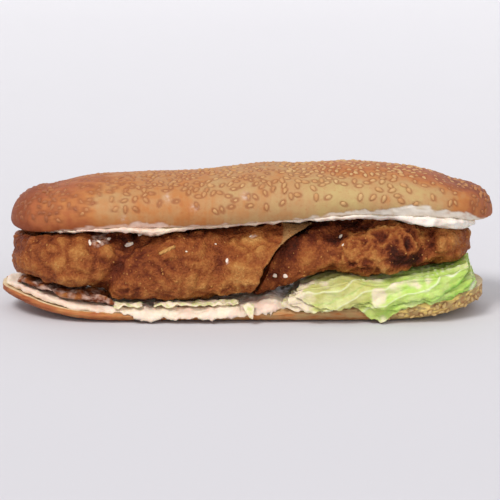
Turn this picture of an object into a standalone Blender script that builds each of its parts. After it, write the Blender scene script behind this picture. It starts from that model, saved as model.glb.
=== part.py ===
"""An escalope sandwich: a long sesame roll split level, with two pieces of fried breaded chicken,
lettuce, and a spread of sauce under and over them.

X runs along the roll, -Y is the open front side and +Z is up. The roll rests on the flat foot of its
lower half, and the origin is the middle of the whole at that height. Shapes are worked out in
millimetres, and build_mesh turns them into metres.
"""

import math
import random

import bmesh
import bpy
from mathutils import Matrix, Vector, noise
from mathutils.bvhtree import BVHTree

MM = 0.001
GAP = 0.45  # between pieces that touch

# Lower half of the roll, the heel
HEEL_LEFT, HEEL_RIGHT = -112.2, 108.0
HEEL_HALF_WIDTH = 34.0
HEEL_END_LEFT, HEEL_END_RIGHT = 46.0, 30.0  # length of the rounding of each end, seen from above
HEEL_RIM = [(-112, 12.4), (-103, 11.2), (-90, 7.8), (-76, 5.6), (-50, 5.0), (0, 6.2), (50, 7.6), (75, 9.2),
            (88, 10.8), (104, 12.8), (108, 13.0)]
HEEL_FLAT_LEFT, HEEL_FLAT_RIGHT = -60.0, 60.0  # the foot is flat between these
HEEL_LIFT_LEFT, HEEL_LIFT_RIGHT = 9.8, 7.0  # how far the crust curls up under each tip
HEEL_SECTION = [(0.0, 0.0), (0.72, 0.0), (0.87, 0.11), (0.96, 0.34), (1.0, 0.62), (0.985, 0.88), (0.95, 1.0)]

# Upper half of the roll, the crown
CROWN_LEFT, CROWN_RIGHT = -107.8, 112.2
CROWN_HALF_WIDTH = 34.5
CROWN_BACK = 1.7  # how far the lid has slid back
CROWN_END_LEFT, CROWN_END_RIGHT = 52.0, 38.0
CROWN_NOSE_LEFT, CROWN_NOSE_RIGHT = 17.0, 13.0
CROWN_NOSE_LIFT = 5.0
CROWN_BASE = [(-108, 36.4), (-98, 36.4), (-67, 38.7), (-21, 39.8), (24, 43.3), (54, 45.2), (88, 43.8),
              (112, 40.6)]
CROWN_RISE = [(-108, 20.4), (-90, 20.4), (-74, 22.4), (-47, 23.8), (-20, 24.2), (0, 25.0), (30, 23.8),
              (65, 21.8), (84, 19.4), (95, 17.0), (112, 16.4)]
CROWN_TUCK = math.radians(24)  # the crust turns in below its widest line by this much
CROWN_TILT = 0.12  # the lid gapes at the front: rise for each mm towards the front
CROWN_WAVE = 0.9

# Sauce
SAUCE_THICK = [(-110, 3.0), (-84, 3.4), (-64, 2.3), (-40, 1.7), (3, 1.9), (8, 4.4), (11, 4.2), (15, 1.6),
               (98, 1.5)]
SAUCE_FRONT_THICK = 1.2
SAUCE_LEFT, SAUCE_RIGHT = -109.5, 98.0
SAUCE_REACH = [(-109, -2.0), (-90, -0.4), (-62, 0.4), (-50, 3.4), (-30, 5.0), (-14, 6.0), (-4, 3.6),
               (4, 3.4), (9, 5.0), (20, -1.4), (34, -2.2), (60, -2.4), (98, -4.0)]
SPREAD_LEFT, SPREAD_RIGHT = -92.0, 104.0
SPREAD_DEPTH = [(-92, 0.8), (-60, 1.3), (-42, 2.6), (-26, 1.4), (20, 1.4), (42, 1.8), (62, 1.8), (78, 3.8),
                (96, 4.2), (104, 3.0)]
SPREAD_BULGE = [(-92, -1.2), (-70, 0.2), (-44, 1.0), (-34, 0.4), (-26, -3.0), (20, -3.0), (33, 0.2),
                (50, 0.3), (59, -2.4), (68, -0.6), (80, 1.4), (104, 0.8)]  # how far it passes the bread

# Lettuce, the lowest leaf first
LEAF_THICK = 0.9
PILE_START, PILE_FULL = 10.0, 31.0  # the pile of leaves climbs between these
PILE_STEP = 5.2  # from leaf to leaf at full height
FIRST_LEAF = 3.1  # middle of the lowest leaf above the heel
LEAF_SPAN = [(15.5, 104.0), (18.5, 102.0), (21.5, 100.0)]
LEAF_BACK = [0.9, 0.85, 0.8]  # share of the heel's half width that a leaf reaches at the back
LEAF_OUT = [1.0, 2.5, 4.0]  # how far a leaf hangs in front of the heel
LEAF_CORNER = 2.0  # radius of the bend where it turns down
LEAF_SLANT = 0.35  # the front of the pile leans back by this for each mm up
LEAF_RUFFLE = 0.5
LOW_LEAF_DROP = [(16, 2.6), (28, 3.6), (50, 3.6), (56, 8.6), (62, 9.6), (71, 4.0), (84, 3.4), (104, 1.8)]
MIDDLE_LEAF_DROP = [(19, 3.4), (26, 6.0), (38, 7.4), (52, 6.2), (66, 8.0), (84, 7.0), (102, 5.2)]
TOP_LEAF_DROP = [(22, 3.4), (28, 6.4), (36, 9.6), (46, 10.6), (54, 8.2), (62, 10.4), (72, 8.6), (84, 9.2),
                 (94, 5.8), (100, 4.4)]
LEAF_SKEW = [9.0, 6.0, 10.0]  # at its left end the back of a leaf starts this much further right
SHRED_LEFT, SHRED_RIGHT = -60.0, -3.8

# Chicken
FRONT_PIECE_LEFT, FRONT_PIECE_RIGHT = -107.0, 6.0
REAR_PIECE_LEFT, REAR_PIECE_RIGHT = 10.0, 102.0
SPLIT = [(8, 1.5), (18, 6.6), (30, 11.5), (36, 18.0), (40, 26.5), (43, 34.0), (48, 38.0)]  # (z, x), in front
SPLIT_SLANT = -0.10  # and how far that moves to the left for each mm back
SPLIT_GAP = 1.3
ESCALOPE_END_DEEP, ESCALOPE_END_TALL = 36.0, 13.0
SCRAP_LEFT, SCRAP_RIGHT, SCRAP_THICK = -104.0, -60.0, 4.4
STICK_LENGTH, STICK_WIDTH = 8.6, 2.0  # a stray crumb, shaped like a short stick
STICK_AT, STICK_TURN = (-36.0, -45.0, 32.5), 28.0

# Sesame
SEED_LENGTH, SEED_WIDTH, SEED_DEPTH = 3.5, 2.1, 1.5
CROWN_SEEDS, CROWN_SEED_SPACING = 138, 6.8
HEEL_SEEDS, HEEL_SEED_SPACING = 20, 7.5
HEEL_BARE = 62.0  # the front of the heel has seeds only to the right of this
SEED_SINK = 0.25  # share of its depth that lies in the crust


def smooth_curve(points):
    """A smooth curve through (x, value) points, level beyond its ends."""
    xs = [p[0] for p in points]
    vs = [p[1] for p in points]
    slopes = []
    for i in range(len(points)):
        a, b = max(i - 1, 0), min(i + 1, len(points) - 1)
        slopes.append((vs[b] - vs[a]) / (xs[b] - xs[a]))

    def value(x):
        if x <= xs[0]:
            return vs[0]
        if x >= xs[-1]:
            return vs[-1]
        i = max(k for k in range(len(xs) - 1) if xs[k] <= x)
        step = xs[i + 1] - xs[i]
        t = (x - xs[i]) / step
        return (
            vs[i] * (1 + 2 * t) * (1 - t) ** 2
            + slopes[i] * step * t * (1 - t) ** 2
            + vs[i + 1] * t * t * (3 - 2 * t)
            + slopes[i + 1] * step * t * t * (t - 1)
        )

    return value


def rounding(x, left, right, left_length, right_length):
    """1 along the middle, falling to 0 at each end as an ellipse does."""
    inward = min((x - left) / left_length, (right - x) / right_length, 1.0)
    return math.sqrt(max(0.0, 1.0 - (1.0 - max(inward, 0.0)) ** 2))


def smooth_step(a, b, x):
    t = min(max((x - a) / (b - a), 0.0), 1.0)
    return t * t * (3 - 2 * t)


def bell(x, middle, width):
    return math.exp(-(((x - middle) / width) ** 2))


def stations(left, right, left_length, right_length, at_ends, along):
    """X positions from end to end, closer together where the ends round off."""
    xs = [left + left_length * (1 - math.cos(math.pi / 2 * (i + 0.5) / at_ends)) for i in range(at_ends)]
    start, stop = left + left_length, right - right_length
    xs += [start + (stop - start) * i / along for i in range(along + 1)]
    ends = [right - right_length * (1 - math.cos(math.pi / 2 * (i + 0.5) / at_ends)) for i in range(at_ends)]
    return xs + ends[::-1]


heel_rim = smooth_curve(HEEL_RIM)
crown_base = smooth_curve(CROWN_BASE)
crown_rise = smooth_curve(CROWN_RISE)
sauce_reach = smooth_curve(SAUCE_REACH)
spread_depth = smooth_curve(SPREAD_DEPTH)
spread_bulge = smooth_curve(SPREAD_BULGE)
sauce_thick = smooth_curve(SAUCE_THICK)
split_edge = smooth_curve(SPLIT)


def heel_half_width(x, out=0.0):
    """Half the heel's width at x, or that of its outline moved outwards."""
    return (HEEL_HALF_WIDTH + out) * rounding(
        x, HEEL_LEFT - out, HEEL_RIGHT + out, HEEL_END_LEFT + out, HEEL_END_RIGHT + out
    )


def heel_foot(x):
    """Height of the heel's underside: flat in the middle, curling up at both tips."""
    if x < HEEL_FLAT_LEFT:
        return HEEL_LIFT_LEFT * ((HEEL_FLAT_LEFT - x) / (HEEL_FLAT_LEFT - HEEL_LEFT)) ** 2
    if x > HEEL_FLAT_RIGHT:
        return HEEL_LIFT_RIGHT * ((x - HEEL_FLAT_RIGHT) / (HEEL_RIGHT - HEEL_FLAT_RIGHT)) ** 2
    return 0.0


def heel_point(x, across, up):
    """A point of the heel's section, as shares of its half width and of its height."""
    foot = heel_foot(x)
    y = across * heel_half_width(x)
    z = foot + up * (heel_rim(x) - foot)
    dent = 0.7 * abs(noise.noise(Vector((x, y, z)) * 0.11)) if 0 < up < 1 else 0.0
    return Vector((x, y * (1 - dent / HEEL_HALF_WIDTH), z))


def crown_point(x, turn):
    """A point of the crown's crust. Turn is the angle round it from the back edge, in radians."""
    width = CROWN_HALF_WIDTH * rounding(x, CROWN_LEFT, CROWN_RIGHT, CROWN_END_LEFT, CROWN_END_RIGHT)
    nose = rounding(x, CROWN_LEFT, CROWN_RIGHT, CROWN_NOSE_LEFT, CROWN_NOSE_RIGHT)
    rise = crown_rise(x) * nose
    share = (math.sin(turn) + math.sin(CROWN_TUCK)) / (1 + math.sin(CROWN_TUCK))
    y = width * math.cos(turn)
    z = crown_base(x) + CROWN_NOSE_LIFT * (1 - nose) + rise * share - CROWN_TILT * y
    wave = CROWN_WAVE * noise.noise(Vector((x, y, z)) * 0.045) * max(share, 0.0) * nose
    return Vector((x, y + CROWN_BACK, z + wave))


def crown_cut(x, y):
    """Height of the crown's cut face."""
    nose = rounding(x, CROWN_LEFT, CROWN_RIGHT, CROWN_NOSE_LEFT, CROWN_NOSE_RIGHT)
    return crown_base(x) + CROWN_NOSE_LIFT * (1 - nose) - CROWN_TILT * (y - CROWN_BACK)


def crown_edge(x):
    """Half the width of the crown's cut face."""
    width = CROWN_HALF_WIDTH * rounding(x, CROWN_LEFT, CROWN_RIGHT, CROWN_END_LEFT, CROWN_END_RIGHT)
    return width * math.cos(CROWN_TUCK)


def spread_under(x, y):
    """Height of the underside of the sauce that coats the crown's cut face."""
    ripple = 0.35 * noise.noise(Vector((x, y, 7.0)) * 0.12)
    return crown_cut(x, y) - GAP - spread_depth(x) - ripple


def pile(x):
    """How far the pile of leaves has climbed at x, from 0 to 1."""
    return smooth_step(PILE_START, PILE_FULL, x)


def leaf_wave(x, y):
    return 0.8 * math.sin(0.20 * x + 0.05 * y) + 1.3 * noise.noise(Vector((x, 0.6 * y, 3.0)) * 0.055)


def leaf_height(level, x, y):
    """Height of the middle of a leaf. Level 0 is the lowest one, and all dip towards the front."""
    climb = pile(x)
    lowest = heel_rim(x) + FIRST_LEAF + level * PILE_STEP * climb
    return lowest + (leaf_wave(x, y) * (0.3 + 0.3 * level) + 0.04 * level * y) * climb


def scrap_share(x):
    """1 where the scrap of coating lies under the left piece, 0 elsewhere."""
    started = smooth_step(SCRAP_LEFT - 3, SCRAP_LEFT + 6, x)
    ended = smooth_step(SCRAP_RIGHT - 7, SCRAP_RIGHT + 4, x)
    return started * (1 - ended)


def sauce_top(x):
    return heel_rim(x) + GAP + sauce_thick(x)


def floor_height(x, y):
    """Top of whatever the chicken lies on."""
    on_scrap = sauce_top(x) + (GAP + SCRAP_THICK) * scrap_share(x)
    over_shreds = smooth_step(-21, -25, y) * smooth_step(-66, -61, x) * (1 - smooth_step(-3, 2, x))
    on_shreds = heel_rim(x) + (FIRST_LEAF + LEAF_THICK / 2) * over_shreds
    return max(on_scrap, on_shreds, leaf_height(2, x, y) + LEAF_THICK / 2) + GAP


def split_plane(y, z):
    """X of the leaning face that parts the two pieces of chicken."""
    return split_edge(z) + SPLIT_SLANT * (y + 34.0)


def over_rim(x, out, up, along, corner=1.8):
    """A point of a path over the heel's top and down its front. Along is the distance past the rim's
    corner: below 0 on top, above 0 down the front. Out and up are its distance from the crust."""
    radius = corner + max(out, 0.0)
    front = -(heel_half_width(x, out) - radius)
    top = heel_rim(x) + up
    if along <= 0:
        return Vector((x, front - along, top))
    quarter = math.pi / 2 * radius
    if along < quarter:
        turn = along / radius
        return Vector((x, front - radius * math.sin(turn), top - radius * (1 - math.cos(turn))))
    return Vector((x, front - radius, top - radius - (along - quarter)))


def material(name, colour, roughness):
    made = bpy.data.materials.new(name)
    made.use_nodes = True
    shader = made.node_tree.nodes["Principled BSDF"]
    shader.inputs["Base Color"].default_value = (*colour, 1.0)
    shader.inputs["Roughness"].default_value = roughness
    shader.inputs["Metallic"].default_value = 0.0
    return made


def build_mesh(name, points, faces, look):
    """A named object from points in millimetres. Its faces are triangles that point outwards."""
    mesh = bpy.data.meshes.new(name)
    mesh.from_pydata([p * MM for p in points], [], faces)
    shape = bmesh.new()
    shape.from_mesh(mesh)
    bmesh.ops.triangulate(shape, faces=shape.faces)
    bmesh.ops.recalc_face_normals(shape, faces=shape.faces)
    shape.to_mesh(mesh)
    shape.free()
    mesh.shade_smooth()
    mesh.set_sharp_from_angle(angle=math.radians(50))
    mesh.materials.append(look)
    made = bpy.data.objects.new(name, mesh)
    bpy.context.scene.collection.objects.link(made)
    return made


def loft(name, rings, look):
    """A closed body through rings of equal length, each end drawn to the middle of its last ring."""
    count = len(rings[0])
    points = [p for ring in rings for p in ring]
    faces = []
    for r in range(len(rings) - 1):
        for i in range(count):
            j = (i + 1) % count
            faces.append((r * count + i, r * count + j, (r + 1) * count + j, (r + 1) * count + i))
    for first, ring in ((0, rings[0]), ((len(rings) - 1) * count, rings[-1])):
        middle = sum(ring, Vector()) / count
        points.append(middle)
        faces += [(first + i, first + (i + 1) % count, len(points) - 1) for i in range(count)]
    return build_mesh(name, points, faces, look)


def sheet(name, rows, thick, look):
    """A thin solid leaf from rows of points on its middle surface, both faces split into triangles alike."""
    across = len(rows[0])
    points = [p for row in rows for p in row]
    faces = []
    for r in range(len(rows) - 1):
        for i in range(across - 1):
            a = r * across + i
            b = a + across
            faces += [(a, a + 1, b + 1), (a, b + 1, b)]
    mesh = bpy.data.meshes.new(name)
    mesh.from_pydata([p * MM for p in points], [], faces)
    mesh.shade_smooth()
    mesh.materials.append(look)
    made = bpy.data.objects.new(name, mesh)
    bpy.context.scene.collection.objects.link(made)
    solid = made.modifiers.new("leaf thickness", "SOLIDIFY")
    solid.thickness = thick * MM
    solid.offset = 0.0
    return made


def seed_mesh(name, place, look, helpers):
    """One sesame seed, a flat drop, as a helper object that a union takes in."""
    shape = bmesh.new()
    lying = Matrix.Rotation(math.pi / 2, 4, "Y")
    bmesh.ops.create_uvsphere(shape, u_segments=5, v_segments=3, radius=0.5, matrix=lying)
    for vert in shape.verts:
        point_share = 0.5 + vert.co.x  # 0 at the blunt end, 1 at the point
        taper = 1.0 - 0.35 * point_share
        wide = SEED_WIDTH * taper * 1.15
        vert.co = Vector((vert.co.x * SEED_LENGTH, vert.co.y * wide, vert.co.z * SEED_DEPTH))
    bmesh.ops.triangulate(shape, faces=shape.faces)
    shape.transform(Matrix.Scale(MM, 4) @ place)
    mesh = bpy.data.meshes.new(name)
    shape.to_mesh(mesh)
    shape.free()
    mesh.materials.append(look)
    helpers.objects.link(bpy.data.objects.new(name, mesh))


def seed_place(tree, point, spin):
    """Where a seed lies: on the crust nearest to point, flat against it, turned by spin and partly sunk."""
    spot, outward = tree.find_nearest(point)[:2]
    along = Vector((0.0, 0.0, 1.0)) if abs(outward.x) > 0.8 else Vector((1.0, 0.0, 0.0))
    level = (along - outward * along.dot(outward)).normalized()
    length = level * math.cos(spin) + outward.cross(level) * math.sin(spin)
    turn = Matrix((length, outward.cross(length), outward)).transposed().to_4x4()
    return Matrix.Translation(spot + outward * SEED_DEPTH * (0.5 - SEED_SINK)) @ turn


def mesh_tree(made):
    """A lookup of the nearest point on an object's surface, in millimetres."""
    shape = bmesh.new()
    shape.from_mesh(made.data)
    shape.transform(Matrix.Scale(1 / MM, 4))
    tree = BVHTree.FromBMesh(shape)
    shape.free()
    return tree


def spaced_apart(point, others, spacing):
    return all((point - other).length > spacing for other in others)


def crown_seeds(draw):
    """Seeds over the crown's crust as (point, spin), closest together on top."""
    seeds = []
    while len(seeds) < CROWN_SEEDS:
        x = draw.uniform(CROWN_LEFT + 1.5, CROWN_RIGHT - 1.5)
        turn = draw.uniform(math.radians(-2), math.radians(182))
        spin = draw.uniform(0, math.pi)
        point = crown_point(x, turn)
        if spaced_apart(point, [s[0] for s in seeds], CROWN_SEED_SPACING * (1.25 - 0.35 * math.sin(turn))):
            seeds.append((point, spin))
    return seeds


def heel_seeds(draw):
    """Seeds on the heel's side crust as (point, spin): along the back, and at the right end in front."""
    seeds = []
    while len(seeds) < HEEL_SEEDS:
        x = draw.uniform(HEEL_LEFT + 3.0, HEEL_RIGHT - 2.0)
        side = draw.choice((-1, 1))
        up = draw.uniform(0.25, 0.6)
        spin = draw.uniform(0, math.pi)
        point = heel_point(x, side * (0.92 + 0.1 * up), up)
        covered = side < 0 and x < HEEL_BARE
        if not covered and spaced_apart(point, [s[0] for s in seeds], HEEL_SEED_SPACING):
            seeds.append((point, spin))
    return seeds


def fuse_seeds(bread, seeds, look):
    """Joins the seeds to the bread with one Boolean union."""
    tree = mesh_tree(bread)
    helpers = bpy.data.collections.new(bread.name + " seeds")
    bpy.context.scene.collection.children.link(helpers)
    for i, (point, spin) in enumerate(seeds):
        seed_mesh(f"{bread.name} seed {i}", seed_place(tree, point, spin), look, helpers)
    fuse(bread, helpers)


def fuse(body, helpers):
    """Joins a collection of closed helpers to the body, and removes them."""
    union = body.modifiers.new("fuse", "BOOLEAN")
    union.operation = "UNION"
    union.operand_type = "COLLECTION"
    union.solver = "EXACT"
    union.collection = helpers
    bpy.context.view_layer.update()
    graph = bpy.context.evaluated_depsgraph_get()
    fused = bpy.data.meshes.new_from_object(body.evaluated_get(graph))
    body.modifiers.clear()
    body.data = fused
    for helper in list(helpers.objects):
        bpy.data.objects.remove(helper)
    bpy.data.collections.remove(helpers)


def make_heel(crust, sesame, draw):
    """The lower half of the roll, on its flat foot."""
    rings = []
    for x in stations(HEEL_LEFT, HEEL_RIGHT, HEEL_END_LEFT, HEEL_END_RIGHT, 6, 19):
        front = [heel_point(x, -across, up) for across, up in HEEL_SECTION]
        back = [heel_point(x, across, up) for across, up in reversed(HEEL_SECTION[1:])]
        rings.append(front + back)
    heel = loft("bun_heel", rings, crust)
    fuse_seeds(heel, heel_seeds(draw), sesame)


def make_crown(crust, sesame, draw):
    """The upper half of the roll, with a level cut face below and seeds over its crust."""
    arc = 15
    rings = []
    for x in stations(CROWN_LEFT, CROWN_RIGHT, CROWN_END_LEFT, CROWN_END_RIGHT, 8, 13):
        sweep = math.pi + 2 * CROWN_TUCK
        ring = [crown_point(x, sweep * i / arc - CROWN_TUCK) for i in range(arc + 1)]
        edge = crown_edge(x)
        for share in (-0.5, 0.0, 0.5):
            y = share * edge + CROWN_BACK
            ring.append(Vector((x, y, crown_cut(x, y))))
        rings.append(ring)
    crown = loft("bun_crown", rings, crust)
    fuse_seeds(crown, crown_seeds(draw), sesame)


def make_lower_sauce(look):
    """Sauce spread on the heel, running over its front rim in places."""
    rings = []
    count = 38
    for r in range(count + 1):
        x = SAUCE_LEFT + (SAUCE_RIGHT - SAUCE_LEFT) * r / count
        ends = rounding(x, SAUCE_LEFT - 1, SAUCE_RIGHT + 1, 12, 12)
        reach = sauce_reach(x) + 0.8 * noise.noise(Vector((x, 0, 0)) * 0.3)
        start = min(-2.0, reach - 1.0)
        back = min((-1.72 - 0.14 * smooth_step(-70, -100, x)) * heel_half_width(x), start - 3.0)
        steps = [back + (start - back) * k / 3 for k in range(4)]
        steps += [start + (reach - start) * k / 4 for k in range(1, 5)]
        inner, outer = [], []
        for k, along in enumerate(steps):
            over = smooth_step(-2.0, 3.0, along)
            thick = (sauce_thick(x) * (1 - over) + SAUCE_FRONT_THICK * over) * (0.4 + 0.6 * ends)
            if k in (0, len(steps) - 1):
                thick *= 0.45
            inner.append(over_rim(x, GAP, GAP, along))
            outer.append(over_rim(x, GAP + thick, GAP + thick, along * (1 + 0.12 * over)))
        rings.append(inner + outer[::-1])
    loft("sauce_lower", rings, look)


def make_upper_sauce(look):
    """Sauce on the crown's cut face, thick enough at the right to show as a white band."""
    rings = []
    count = 26
    for r in range(count + 1):
        x = SPREAD_LEFT + (SPREAD_RIGHT - SPREAD_LEFT) * r / count
        ends = rounding(x, SPREAD_LEFT - 1, SPREAD_RIGHT + 1, 12, 10)
        edge = crown_edge(x)
        front = CROWN_BACK - (edge + spread_bulge(x)) * (0.5 + 0.5 * ends)
        back = CROWN_BACK + 0.86 * edge * ends
        ys = [back + (front - back) * k / 6 for k in range(7)]
        top = [Vector((x, y, crown_cut(x, y) - GAP)) for y in ys]
        under = []
        for k, y in enumerate(ys):
            full = spread_under(x, y)
            share = 0.5 if k == 0 else 0.85 if k == 6 else 1.0
            level = crown_cut(x, y) - GAP
            under.append(Vector((x, y, level + (full - level) * share * (0.5 + 0.5 * ends))))
        mid = Vector((x, front - 0.5, (top[-1].z + under[-1].z) / 2))
        rings.append(top + [mid] + under[::-1])
    loft("sauce_upper", rings, look)


def past_corner(drop):
    """Distance along a leaf's rounded corner, and down from it, that lowers its edge by drop."""
    if drop < LEAF_CORNER:
        return LEAF_CORNER * math.acos(1 - drop / LEAF_CORNER)
    return LEAF_CORNER * math.pi / 2 + drop - LEAF_CORNER


def leaf_front(level, x, z):
    """Y of a leaf's hanging front at a height. Each leaf hangs outside the one below it."""
    ruffle = LEAF_RUFFLE * (1 + math.sin(0.42 * x + 0.2 * z))
    lean = LEAF_SLANT * max(z - heel_rim(x) - FIRST_LEAF, 0.0)
    return lean - heel_half_width(x, LEAF_OUT[level]) - ruffle


def make_leaf(name, level, drop, look, rows=16, top_steps=5, lip_steps=5):
    """A lettuce leaf across the roll, its ruffled front edge hanging down by drop(x)."""
    left, right = LEAF_SPAN[level]
    leaf_rows = []
    for r in range(rows):
        share = r / (rows - 1)
        x = left + (right - left) * share
        ends = rounding(x, left - 0.6, right + 0.6, 9.0, 9.0)
        bend = leaf_height(level, x, -0.9 * heel_half_width(x)) - LEAF_CORNER
        behind = leaf_front(level, x, bend) + LEAF_CORNER
        row = []
        for k in range(top_steps):
            to_back = 1 - k / (top_steps - 1)
            at = x + LEAF_SKEW[level] * to_back * (1 - share) ** 2
            rear = LEAF_BACK[level] * heel_half_width(at)
            y = behind + (rear - behind) * to_back
            row.append(Vector((at, y, leaf_height(level, at, y))))
        top = row[-1].z
        lip = past_corner(drop(x) * ends)
        for k in range(1, lip_steps + 1):
            along = lip * k / lip_steps
            turn = min(along / LEAF_CORNER, math.pi / 2)
            z = top - LEAF_CORNER * (1 - math.cos(turn)) - max(along - LEAF_CORNER * math.pi / 2, 0.0)
            y = leaf_front(level, x, z) + LEAF_CORNER * (1 - math.sin(turn))
            row.append(Vector((x, y, z)))
        leaf_rows.append(row)
    sheet(name, leaf_rows, LEAF_THICK, look)


def make_lettuce(look):
    """Three leaves piled at the right, each hanging over the one below, and shreds under the left piece."""
    make_leaf("leaf_low", 0, smooth_curve(LOW_LEAF_DROP), look)
    make_leaf("leaf_middle", 1, smooth_curve(MIDDLE_LEAF_DROP), look)
    make_leaf("leaf_top", 2, smooth_curve(TOP_LEAF_DROP), look)
    make_shred("shred_long", -42.0, SHRED_RIGHT, 6.0, 1.3, look)
    make_shred("shred_short", SHRED_LEFT, -47.0, 5.0, 1.6, look)
    make_hanging_tip("shred_tip", look)


def make_shred(name, left, right, width, hang, look):
    """A strip of lettuce lying along the front of the sauce."""
    rows = []
    count = max(6, round((right - left) / 3.2))
    for r in range(count + 1):
        x = left + (right - left) * r / count
        lip = hang + 0.6 * math.sin(0.5 * x)
        wide = width * (0.6 + 0.4 * rounding(x, left - 1, right + 1, 8, 8))
        up = FIRST_LEAF
        rows.append([over_rim(x, 2.9, up, lip + (-wide - lip) * k / 4) for k in range(5)])
    sheet(name, rows, LEAF_THICK, look)


def make_hanging_tip(name, look):
    """A narrow tip of lettuce hanging over the front of the sauce."""
    rows = []
    for r in range(5):
        share = r / 4
        along = 1.6 + 7.4 * share
        half = 3.0 - 2.0 * share
        middle = 0.4 + 1.6 * share
        rows.append([over_rim(middle + half * side, 3.3, FIRST_LEAF, along) for side in (-1, 0, 1)])
    sheet(name, rows, LEAF_THICK, look)


def escalope_relief(x, y, z):
    """Lumps and crags of the fried coating, in millimetres outwards."""
    at = Vector((x, y, z))
    lumps = 1.7 * noise.noise(at * 0.055)
    crags = 1.3 * noise.noise(at * 0.14 + Vector((5, 0, 0)))
    return lumps + crags


def valley(x, z, line, half_width):
    """1 along a line on the front face, given by its foot (x, z) and head (x, z), 0 away from it."""
    (foot_x, foot_z), (head_x, head_z) = line
    share = min(max((z - foot_z) / (head_z - foot_z), 0.0), 1.0)
    return bell(x, foot_x + (head_x - foot_x) * share, half_width)


def escalope_rings(left, right, free_end, section, carve, bend, around=24, along=20):
    """Rings of a piece of fried chicken, rounded at its free end. section(x) gives its middle, half its
    depth and its two heights, carve(x, z) how far its front face is drawn in, and bend(x, y, z) where each
    point ends up."""
    rings = []
    for x in stations(left, right, 12.0, 12.0, 4, along):
        to_end = x - left if free_end < 0 else right - x
        round_deep = rounding(to_end, 0, 400, ESCALOPE_END_DEEP, 1)
        round_tall = rounding(to_end, 0, 400, ESCALOPE_END_TALL, 1)
        mid_y, half_y, low, high = section(x)
        half_y *= 0.25 + 0.75 * round_deep
        half_z = (high - low) / 2 * (0.45 + 0.55 * round_tall)
        ring = []
        for i in range(around):
            turn = 2 * math.pi * i / around
            c, s = math.cos(turn), math.sin(turn)
            y = mid_y + half_y * (1 - 0.07 * s) * math.copysign(abs(c) ** 0.62, c)
            z = (low + high) / 2 + half_z * math.copysign(abs(s) ** 0.62, s)
            push = escalope_relief(x, y, z) * (0.3 + 0.7 * round_tall)
            push -= carve(x, z) * smooth_step(0.2, 0.8, -c)
            y += push * c
            z += push * s + CROWN_TILT * (mid_y - y) * max(s, 0.0)
            ring.append((x, y, z))
        rings.append([bend(*point) for point in ring])
    return rings


def held(x, y, z):
    """The point, moved up or down if need be to lie clear of what is below and above the chicken."""
    z = min(max(z, floor_height(x, y)), spread_under(x, y) - GAP)
    return Vector((x, y, z))


def front_section(x):
    """The left piece: deep and tall, its right end a flap that rises to the crown."""
    low, high = floor_height(x, -10.0) - 0.8, spread_under(x, -10.0) + 0.4
    return -1.6, 34.0, low, high


def front_carve(x, z):
    lobes = 3.4 * valley(x, z, ((-67, 14), (-49, 42)), 7.0)
    fold = 2.0 * valley(x, z, ((-14, 10), (-22, 40)), 8.0)
    brow = (1.6 + 3.4 * bell(x, -56, 13) + 3.4 * bell(x, -10, 20)) * smooth_step(29, 38, z)
    return lobes + fold + brow - 1.2 * bell(x, -88, 14) - 1.4 * bell(x, -34, 16)


def bend_front(x, y, z):
    share = min(max((x - FRONT_PIECE_RIGHT + 95.0) / 95.0, 0.0), 1.0)
    return held(x + share * (split_plane(y, z) - SPLIT_GAP - FRONT_PIECE_RIGHT), y, z)


def rear_section(x):
    """The right piece, on the pile of leaves, set back at its left end and reaching down to the sauce."""
    low, high = floor_height(x, -10.0) - 0.8, spread_under(x, -10.0) + 0.4
    low -= 3.5 * (1 - smooth_step(14, 40, x))
    set_back = 4.0 * (1 - smooth_step(16, 50, x))
    return set_back, 32.5 - 0.5 * set_back, low, high


def rear_carve(x, z):
    cleft = 4.5 * valley(x, z, ((84, 28), (76, 40)), 5.0)
    fold = 2.6 * valley(x, z, ((40, 24), (30, 42)), 7.0)
    brow = (1.0 + 4.6 * bell(x, 42, 15)) * smooth_step(31, 41, z)
    return cleft + fold + brow - 1.6 * bell(x, 60, 12) - 1.0 * bell(x, 94, 9)


def bend_rear(x, y, z):
    share = min(max((REAR_PIECE_LEFT + 85.0 - x) / 85.0, 0.0), 1.0)
    return held(x + share * (split_plane(y, z) + SPLIT_GAP - REAR_PIECE_LEFT), y, z)


def make_chicken(look, crumb):
    """The two pieces of fried chicken, the scrap of coating under the left one, and its stray crumb."""
    rings = escalope_rings(FRONT_PIECE_LEFT, FRONT_PIECE_RIGHT, -1, front_section, front_carve, bend_front)
    front = loft("escalope_front", rings, look)
    helpers = bpy.data.collections.new("crumb")
    bpy.context.scene.collection.children.link(helpers)
    place = seed_place(mesh_tree(front), Vector(STICK_AT), math.radians(STICK_TURN))
    sized = Matrix.Diagonal((STICK_LENGTH / SEED_LENGTH, STICK_WIDTH / SEED_WIDTH, 1.3, 1.0))
    seed_mesh("stick", place @ sized, crumb, helpers)
    fuse(front, helpers)
    ends = (REAR_PIECE_LEFT, REAR_PIECE_RIGHT)
    rings = escalope_rings(*ends, 1, rear_section, rear_carve, bend_rear, along=17)
    loft("escalope_rear", rings, look)
    make_scrap(look)


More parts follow.
